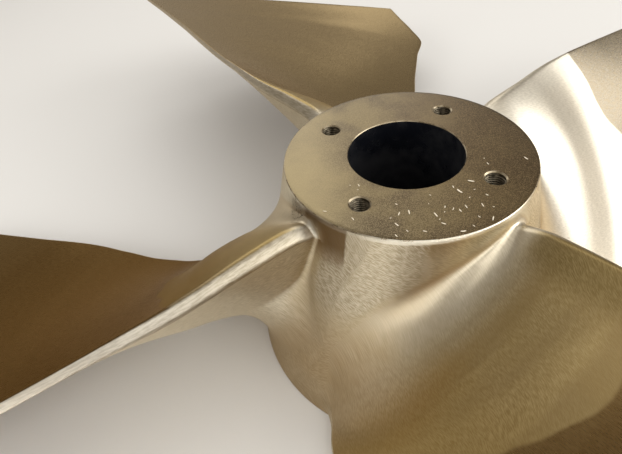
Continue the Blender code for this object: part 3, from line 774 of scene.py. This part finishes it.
def cut_edge():
    """Narrow chamfers, dull, with a painted highlight along the front of the rim's chamfer."""
    t = Tree("cut_edge")
    wear = t.noise(t.place, 120.0, 3.0, 0.6)
    x, y, z = t.split(t.place)
    turn = t.math("ADD", t.math("ARCTAN2", y, x), t.math("MULTIPLY", t.math("SUBTRACT", wear, 0.5), 0.12))
    radius = t.vector("LENGTH", t.join(x, y, 0.0))
    # painted highlight on the rim's chamfer across the front
    painted_rim_highlight = t.math("MULTIPLY", t.map(turn, math.radians(-128.0), math.radians(-108.0)), t.map(turn, math.radians(-60.0), math.radians(-44.0), 1.0, 0.0))
    painted_rim_highlight = t.math("MULTIPLY", painted_rim_highlight, t.map(radius, 0.114, 0.118))
    dull = t.mix(t.map(wear, 0.35, 0.65), (0.26, 0.20, 0.12), (0.42, 0.345, 0.235))
    t.set(t.shader.inputs["Base Color"], t.mix(painted_rim_highlight, dull, t.mix(t.map(wear, 0.35, 0.65), (0.62, 0.54, 0.40), (0.80, 0.73, 0.60))))
    t.shader.inputs["Metallic"].default_value = 1.0
    t.set(t.shader.inputs["Roughness"], t.map(wear, 0.3, 0.7, 0.24, 0.36))
    t.set(t.shader.inputs["Normal"], t.bump(wear, 0.00006, 0.3))
    return t.material


def painted_dark_bore():
    """Bored taper, painted near black: painted shade for the dark deep inside the bore."""
    t = Tree("painted_dark_bore")
    x, y, z = t.split(t.place)
    rings = t.noise(t.join(t.math("MULTIPLY", z, 1500.0), t.math("MULTIPLY", x, 8.0), t.math("MULTIPLY", y, 8.0)), 1.0, 2.0)
    painted_shade = t.noise(t.place, 26.0, 4.0, 0.6)
    # painted shade: near black with a faint blue cast
    t.set(t.shader.inputs["Base Color"], t.mix(t.map(painted_shade, 0.35, 0.7), (0.012, 0.013, 0.018), (0.050, 0.048, 0.050)))
    t.shader.inputs["Metallic"].default_value = 0.6
    t.set(t.shader.inputs["Roughness"], t.map(painted_shade, 0.3, 0.7, 0.22, 0.38))
    t.set(t.shader.inputs["Normal"], t.bump(rings, 0.00015, 0.5))
    return t.material


def tapped_bronze():
    """Threads, dark with oil in the roots."""
    t = Tree("tapped_bronze")
    stain = t.noise(t.place, 300.0, 3.0, 0.6)
    t.set(t.shader.inputs["Base Color"], t.mix(t.map(stain, 0.35, 0.65), (0.085, 0.068, 0.045), (0.24, 0.20, 0.14)))
    t.shader.inputs["Metallic"].default_value = 1.0
    t.set(t.shader.inputs["Roughness"], t.map(stain, 0.3, 0.7, 0.24, 0.40))
    t.set(t.shader.inputs["Normal"], t.bump(stain, 0.0001, 0.5))
    return t.material


def dry_wood():
    t = Tree("dry_wood")
    grain = t.noise(t.turned(t.place, (0.0, 0.0, 20.0), (200.0, 2500.0, 2500.0)), 1.0, 3.0)
    t.set(t.shader.inputs["Base Color"], t.mix(grain, (0.74, 0.60, 0.40), (0.94, 0.86, 0.70)))
    t.set(t.shader.inputs["Roughness"], t.map(grain, 0.3, 0.7, 0.65, 0.85))
    t.set(t.shader.inputs["Normal"], t.bump(grain, 0.0001, 0.5))
    return t.material


# ---- the casting -----------------------------------------------------------
def across_strokes(mesh, spanwise):
    """Direction across the strokes at each vertex: level with the blade roots."""
    mesh.calc_loop_triangles()
    corners = np.zeros(3 * len(mesh.loop_triangles), int)
    mesh.loop_triangles.foreach_get("vertices", corners)
    places = np.zeros(3 * len(mesh.vertices))
    mesh.vertices.foreach_get("co", places)
    places, corners = places.reshape(-1, 3), corners.reshape(-1, 3)
    a, b, c = (places[corners[:, i]] for i in range(3))
    sa, sb, sc = (spanwise[corners[:, i]][:, None] for i in range(3))
    normal = np.cross(b - a, c - a)
    level = sa * (c - b) + sb * (a - c) + sc * (b - a)      # across the rise, times twice the area
    total = np.zeros_like(places)
    for i in range(3):
        np.add.at(total, corners[:, i], level)
    size = np.linalg.norm(total, axis=1, keepdims=True)
    return np.where(size > 1e-12, total / np.maximum(size, 1e-12), (1.0, 0.0, 0.0))


def make_casting():
    body = build_casting()
    points = np.concatenate(body.points)
    amount = np.concatenate(body.kind)
    materials = [ground_bronze(), turned_bronze(), cut_edge(), painted_dark_bore(), tapped_bronze()]
    obj = make_object("propeller_casting", points, body.faces, body.slots, materials)
    mesh = obj.data
    normals = np.zeros(len(points) * 3)
    mesh.vertices.foreach_get("normal", normals)
    moved = wavy(points, normals.reshape(-1, 3), amount, np.concatenate(body.finish))
    moved[:, 2] = np.clip(moved[:, 2], 0.0, HUB_LENGTH)
    mesh.vertices.foreach_set("co", moved.reshape(-1))
    corners = np.zeros(len(mesh.loops), int)
    mesh.loops.foreach_get("vertex_index", corners)
    finish = np.concatenate(body.finish)[corners]
    turn = helix_place(2.0 * math.pi, 0.0)
    for f in body.start_faces:
        polygon = mesh.polygons[f]
        for loop in polygon.loop_indices:
            if int(corners[loop]) in body.start_points:
                finish[loop, 0] -= turn
    attribute = mesh.attributes.new("finish", "FLOAT_VECTOR", "CORNER")
    attribute.data.foreach_set("vector", finish.reshape(-1))
    attribute = mesh.attributes.new("across", "FLOAT_VECTOR", "POINT")
    attribute.data.foreach_set("vector", across_strokes(mesh, np.concatenate(body.finish)[:, 1]).reshape(-1))
    mesh.shade_smooth()
    mesh.set_sharp_from_angle(angle=math.radians(32.0))
    mesh.update()
    return obj


# ---- wood splinters on the aft face ----------------------------------------
def make_splinters():
    rng = np.random.default_rng(7)
    points, faces = [], []
    placed = []
    while len(placed) < 38:
        low, high = (246.0, 304.0) if rng.random() < 0.72 else (192.0, 350.0)
        a, r = math.radians(rng.uniform(low, high)), rng.uniform(0.066, 0.116)
        x, y = r * math.cos(a), r * math.sin(a)
        near = min((math.hypot(x - HOLE_CIRCLE * math.cos(math.radians(HOLE_ANGLE + 90.0 * k)),
                               y - HOLE_CIRCLE * math.sin(math.radians(HOLE_ANGLE + 90.0 * k))) for k in range(4)))
        if near < 0.0165 or any(math.hypot(x - p, y - q) < 0.0055 for p, q in placed):
            continue
        placed.append((x, y))
        big = rng.random() ** 2.2
        length, width = 0.0013 + 0.0052 * big, 0.0005 + 0.0009 * big * rng.uniform(0.6, 1.2)
        heading, bend, lift = rng.uniform(0.0, math.pi), rng.uniform(-0.3, 0.3), rng.uniform(0.0, 0.10)
        segments, start = 5, len(points)
        for i in range(segments + 1):
            s = i / segments - 0.5
            h = heading + bend * s
            px, py = x + length * s * math.cos(h), y + length * s * math.sin(h)
            w = width * (0.35 + 0.65 * math.sqrt(max(0.0, 1.0 - (2.0 * s) ** 2))) * rng.uniform(0.8, 1.15)
            z = HUB_LENGTH + 0.0001 + lift * length * (s + 0.5) + 0.0002 * abs(s)
            nx, ny, t = -math.sin(h), math.cos(h), 0.00022 + 0.35 * w * 0.5
            for u, v in ((-0.5, 0.0), (0.5, 0.0), (0.38, t), (-0.38, t)):
                points.append((px + nx * w * u, py + ny * w * u, z + v))
        for i in range(segments):
            b = start + 4 * i
            for j in range(4):
                k = (j + 1) % 4
                faces.append((b + j, b + k, b + 4 + k, b + 4 + j))
        faces.append((start + 3, start + 2, start + 1, start))
        e = start + 4 * segments
        faces.append((e, e + 1, e + 2, e + 3))
    obj = make_object("wood_splinters", np.array(points), faces, [0] * len(faces), [dry_wood()])
    return obj


casting = make_casting()
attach(casting, "root")
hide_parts("propeller")
splinters = make_splinters()
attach(splinters, "root")


# ---- floor, light and camera -----------------------------------------------
def plain(name, colour, roughness):
    material = bpy.data.materials.new(name)
    material.use_nodes = True
    shader = material.node_tree.nodes["Principled BSDF"]
    shader.inputs["Base Color"].default_value = (*colour, 1.0)
    shader.inputs["Roughness"].default_value = roughness
    return material


bpy.ops.mesh.primitive_plane_add(size=16.0, location=(0.0, 0.0, -0.0004))
floor = bpy.context.object
floor.name = "studio_floor"
floor.data.materials.append(plain("studio_floor", (0.745, 0.71, 0.665), 0.9))

world = bpy.data.worlds.new("studio")
bpy.context.scene.world = world
world.use_nodes = True
world.node_tree.nodes["Background"].inputs["Color"].default_value = (1.0, 0.955, 0.89, 1.0)
world.node_tree.nodes["Background"].inputs["Strength"].default_value = 0.45


def softbox(name, azimuth, elevation, half_width, half_height, strength, distance=3.4):
    """Area light that faces the hub from a direction; azimuth is from +X, the
    half width and half height are angles seen from the hub."""
    light = bpy.data.lights.new(name, "AREA")
    light.shape = "RECTANGLE"
    light.size = 2.0 * distance * math.tan(math.radians(half_width))
    light.size_y = 2.0 * distance * math.tan(math.radians(half_height))
    light.energy = math.pi * strength * light.size * light.size_y
    light.color = (0.95, 0.98, 1.0)
    obj = bpy.data.objects.new(name, light)
    a, e = math.radians(azimuth), math.radians(elevation)
    towards = Vector((math.cos(a) * math.cos(e), math.sin(a) * math.cos(e), math.sin(e)))
    obj.location = towards * distance + Vector((0.0, 0.0, 0.15))
    obj.rotation_euler = towards.to_track_quat("Z", "Y").to_euler()
    obj.visible_camera = False
    bpy.context.scene.collection.objects.link(obj)
    return obj


softbox("key", -14.0, 25.0, 23.0, 14.0, 4.6)
softbox("high", -52.0, 42.0, 23.0, 13.0, 1.7)
softbox("low_right", -62.0, 9.5, 18.0, 6.0, 2.8)
softbox("low_front", -105.0, 7.0, 21.0, 5.0, 2.6)
softbox("back", 93.0, 34.0, 24.0, 17.0, 1.7)
softbox("top_front", -95.0, 50.0, 15.0, 8.0, 1.15)
softbox("overhead", -60.0, 76.0, 17.0, 15.0, 0.55)
softbox("high_back", 40.0, 64.0, 15.0, 9.0, 1.2)
floor_light = softbox("floor_front", -97.0, 43.0, 14.0, 9.0, 9.0, distance=2.2)    # lights the floor in front
floor_light.rotation_euler = (0.0, 0.0, 0.0)
floor_light.data.spread = math.radians(85.0)
floor_light.visible_glossy = False
low_light = softbox("floor_left", -160.0, 30.0, 20.0, 12.0, 3.8, distance=2.5)     # lights the floor below the blades
low_light.visible_glossy = False

bpy.context.scene.view_settings.view_transform = "Standard"

camera = bpy.data.cameras.new("camera")
camera.sensor_fit = "HORIZONTAL"
camera.sensor_width = 36.0
camera.lens = 430.0 / 622.0 * 36.0
camera.clip_start = 0.02
view = bpy.data.objects.new("camera", camera)
bpy.context.scene.collection.objects.link(view)
tilt, roll, unit = math.radians(44.292), math.radians(-8.069), HUB_AFT_RADIUS
back = Vector((0.0, -math.cos(tilt), math.sin(tilt)))
eye = (Vector((-0.847, -0.714, 0.0)) + back * 2.985) * unit + Vector((0.0, 0.0, HUB_LENGTH))
right = Vector((1.0, 0.0, 0.0))
up = back.cross(right)
across = math.cos(roll) * right + math.sin(roll) * up
upward = -math.sin(roll) * right + math.cos(roll) * up
view.matrix_world = Matrix(((across.x, upward.x, back.x, eye.x), (across.y, upward.y, back.y, eye.y),
                            (across.z, upward.z, back.z, eye.z), (0.0, 0.0, 0.0, 1.0)))
bpy.context.scene.camera = view
